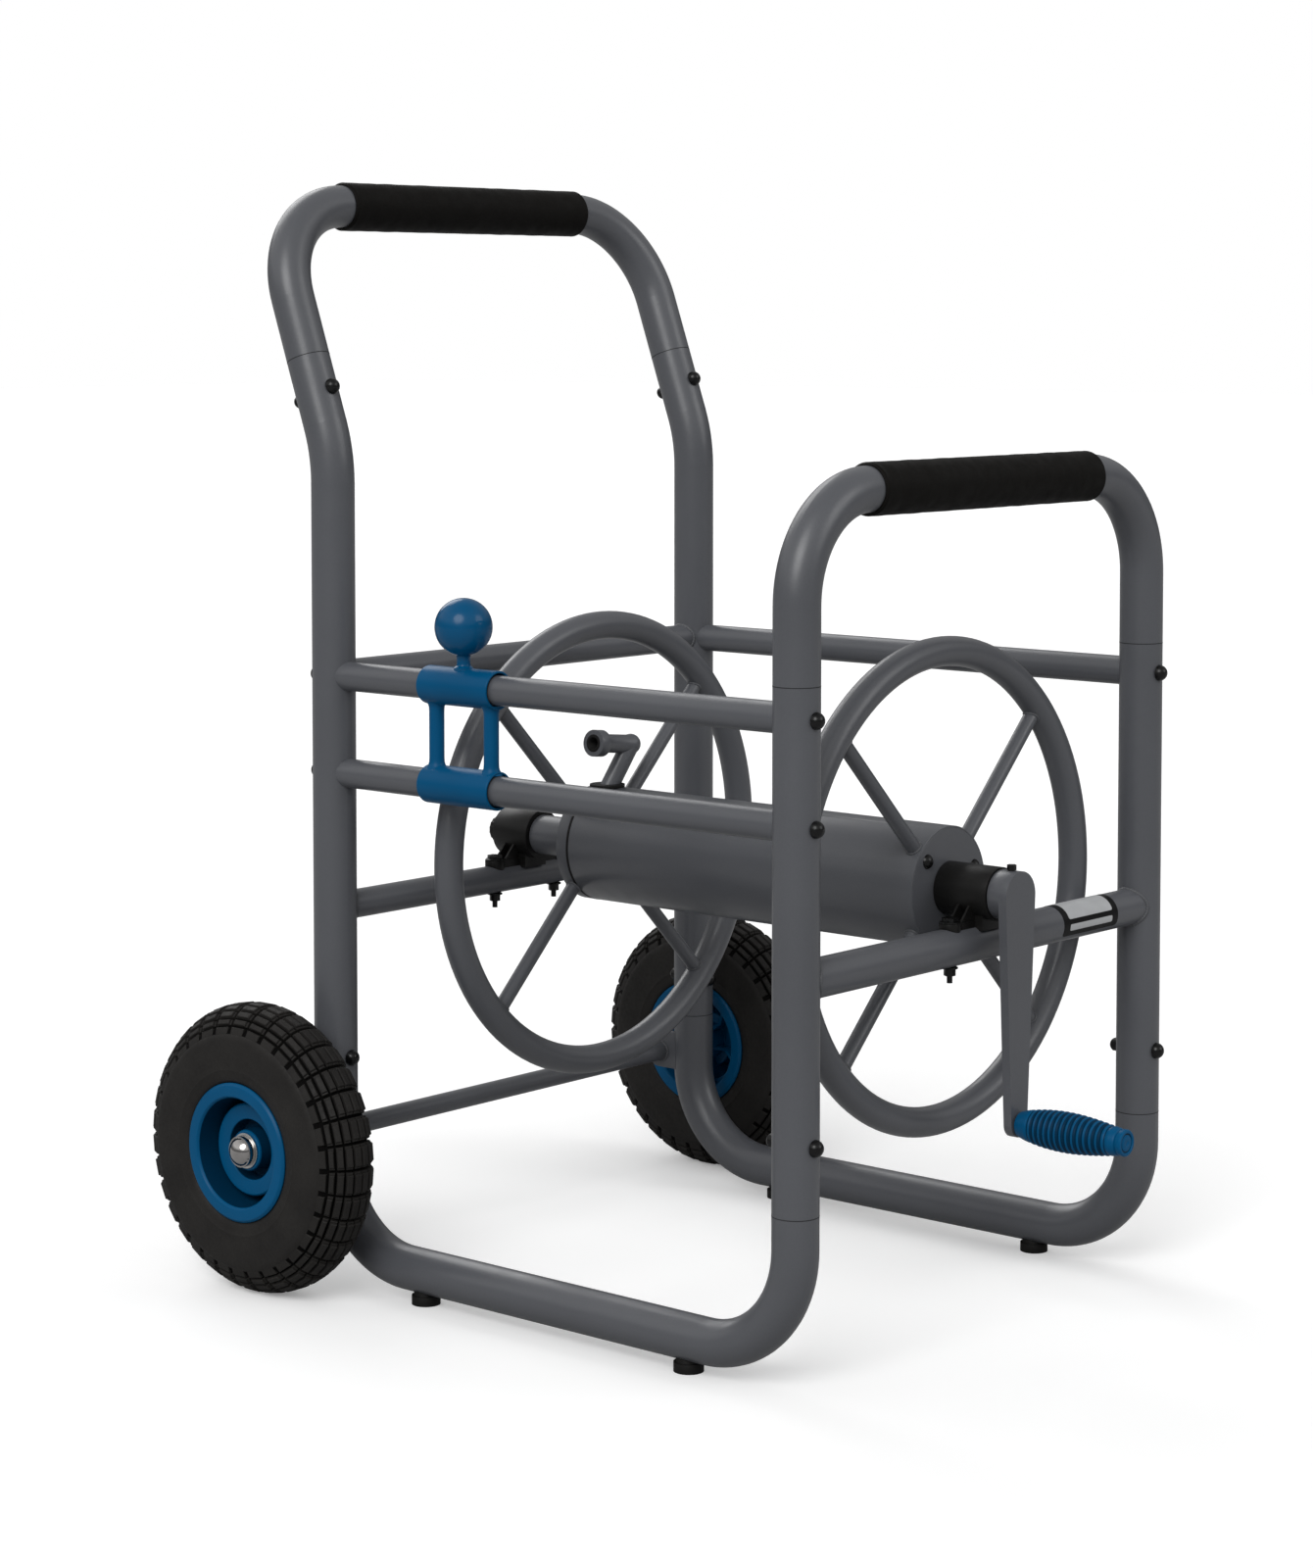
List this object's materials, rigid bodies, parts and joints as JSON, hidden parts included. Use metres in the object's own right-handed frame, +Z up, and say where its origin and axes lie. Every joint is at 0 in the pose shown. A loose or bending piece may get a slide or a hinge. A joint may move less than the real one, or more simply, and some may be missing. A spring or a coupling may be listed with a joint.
{
  "type": "garden hose reel cart",
  "caption": "Wheeled steel hose reel cart with a crank-turned drum between ringed ends, a sliding blue hose guide and foam-gripped handles.",
  "frame": {"origin": "on the ground, under the middle of the overall box", "axes": "+Z up; -Y towards the crank and the low front handle; +Y towards the wheels and the tall handle; the hose guide is on the -X side"},
  "size_m": [0.6806, 0.8216, 0.9715],
  "materials": {
    "coated_steel": "satin dark grey powder coat",
    "blue_plastic": "glossy blue",
    "black_plastic": "satin black",
    "black_fastener": "black coated fasteners",
    "grip_foam": "soft matte black foam",
    "tyre_rubber": "matte dark grey rubber",
    "bright_steel": "zinc plated",
    "cap_chrome": "polished",
    "label_film": "plain silver film, no lettering"
  },
  "bodies": {
    "frame": {"left_bottom_loop": "coated_steel", "right_bottom_loop": "coated_steel", "front_left_post": "coated_steel", "front_right_post": "coated_steel", "front_crossbar": "coated_steel", "rear_left_post": "coated_steel", "rear_right_post": "coated_steel", "rear_top_crossbar": "coated_steel", "rear_crossbar": "coated_steel", "axle_tube": "coated_steel", "axle_brackets": "coated_steel", "axle_rod": "bright_steel", "front_handle": "coated_steel", "rear_handle": "coated_steel", "front_grip": "grip_foam", "rear_grip": "grip_foam", "left_upper_rail": "coated_steel", "left_lower_rail": "coated_steel", "right_rail": "coated_steel", "rail_inserts": "black_plastic", "rail_bolts": "black_fastener", "frame_bolts": "black_fastener", "frame_nuts": "black_fastener", "feet": "black_plastic", "foot_screws": "bright_steel", "front_bearing": "black_plastic", "rear_bearing": "black_plastic", "bearing_bolts": "black_fastener", "bearing_nuts": "black_fastener", "blank_label": "label_film", "axle_spacers": "black_plastic", "axle_washers": "bright_steel", "axle_cap_nuts": "cap_chrome"},
    "reel": {"drum": "coated_steel", "front_end_plate": "coated_steel", "rear_end_cap": "coated_steel", "front_ring": "coated_steel", "rear_ring": "coated_steel", "front_spokes": "coated_steel", "rear_spokes": "coated_steel", "front_shaft": "bright_steel", "rear_shaft": "coated_steel", "plate_bolts": "black_fastener", "outlet_gasket": "black_plastic", "outlet_pipe": "coated_steel", "crank_arm": "coated_steel", "crank_set_screw": "black_fastener", "grip_pin": "bright_steel"},
    "crank_handle": {"crank_grip": "blue_plastic"},
    "inlet": {"inlet_swivel": "black_plastic"},
    "guide": {"hose_guide": "blue_plastic", "guide_knob": "blue_plastic"},
    "left_wheel": {"left_tyre": "tyre_rubber", "left_rim": "blue_plastic", "left_wheel_bushes": "black_plastic"},
    "right_wheel": {"right_tyre": "tyre_rubber", "right_rim": "blue_plastic", "right_wheel_bushes": "black_plastic"}
  },
  "joints": [
    {"name": "reel_spin", "type": "hinge", "parent": "frame", "child": "reel", "pos_m": [0, 0, 0.3726], "axis": [0, 1, 0], "continuous": true},
    {"name": "crank_grip_spin", "type": "hinge", "parent": "reel", "child": "crank_handle", "pos_m": [0, -0.35178, 0.1826], "axis": [0, 1, 0], "continuous": true},
    {"name": "inlet_swivel_spin", "type": "hinge", "parent": "reel", "child": "inlet", "pos_m": [0, 0.28323, 0.3726], "axis": [0, 1, 0], "continuous": true},
    {"name": "guide_slide", "type": "slide", "parent": "frame", "child": "guide", "axis": [0, 1, 0], "range_m": [-0.298, 0.096]},
    {"name": "left_wheel_spin", "type": "hinge", "parent": "frame", "child": "left_wheel", "pos_m": [-0.3075, 0.28377, 0.127], "axis": [1, 0, 0], "continuous": true},
    {"name": "right_wheel_spin", "type": "hinge", "parent": "frame", "child": "right_wheel", "pos_m": [0.3075, 0.28377, 0.127], "axis": [1, 0, 0], "continuous": true}
  ]
}
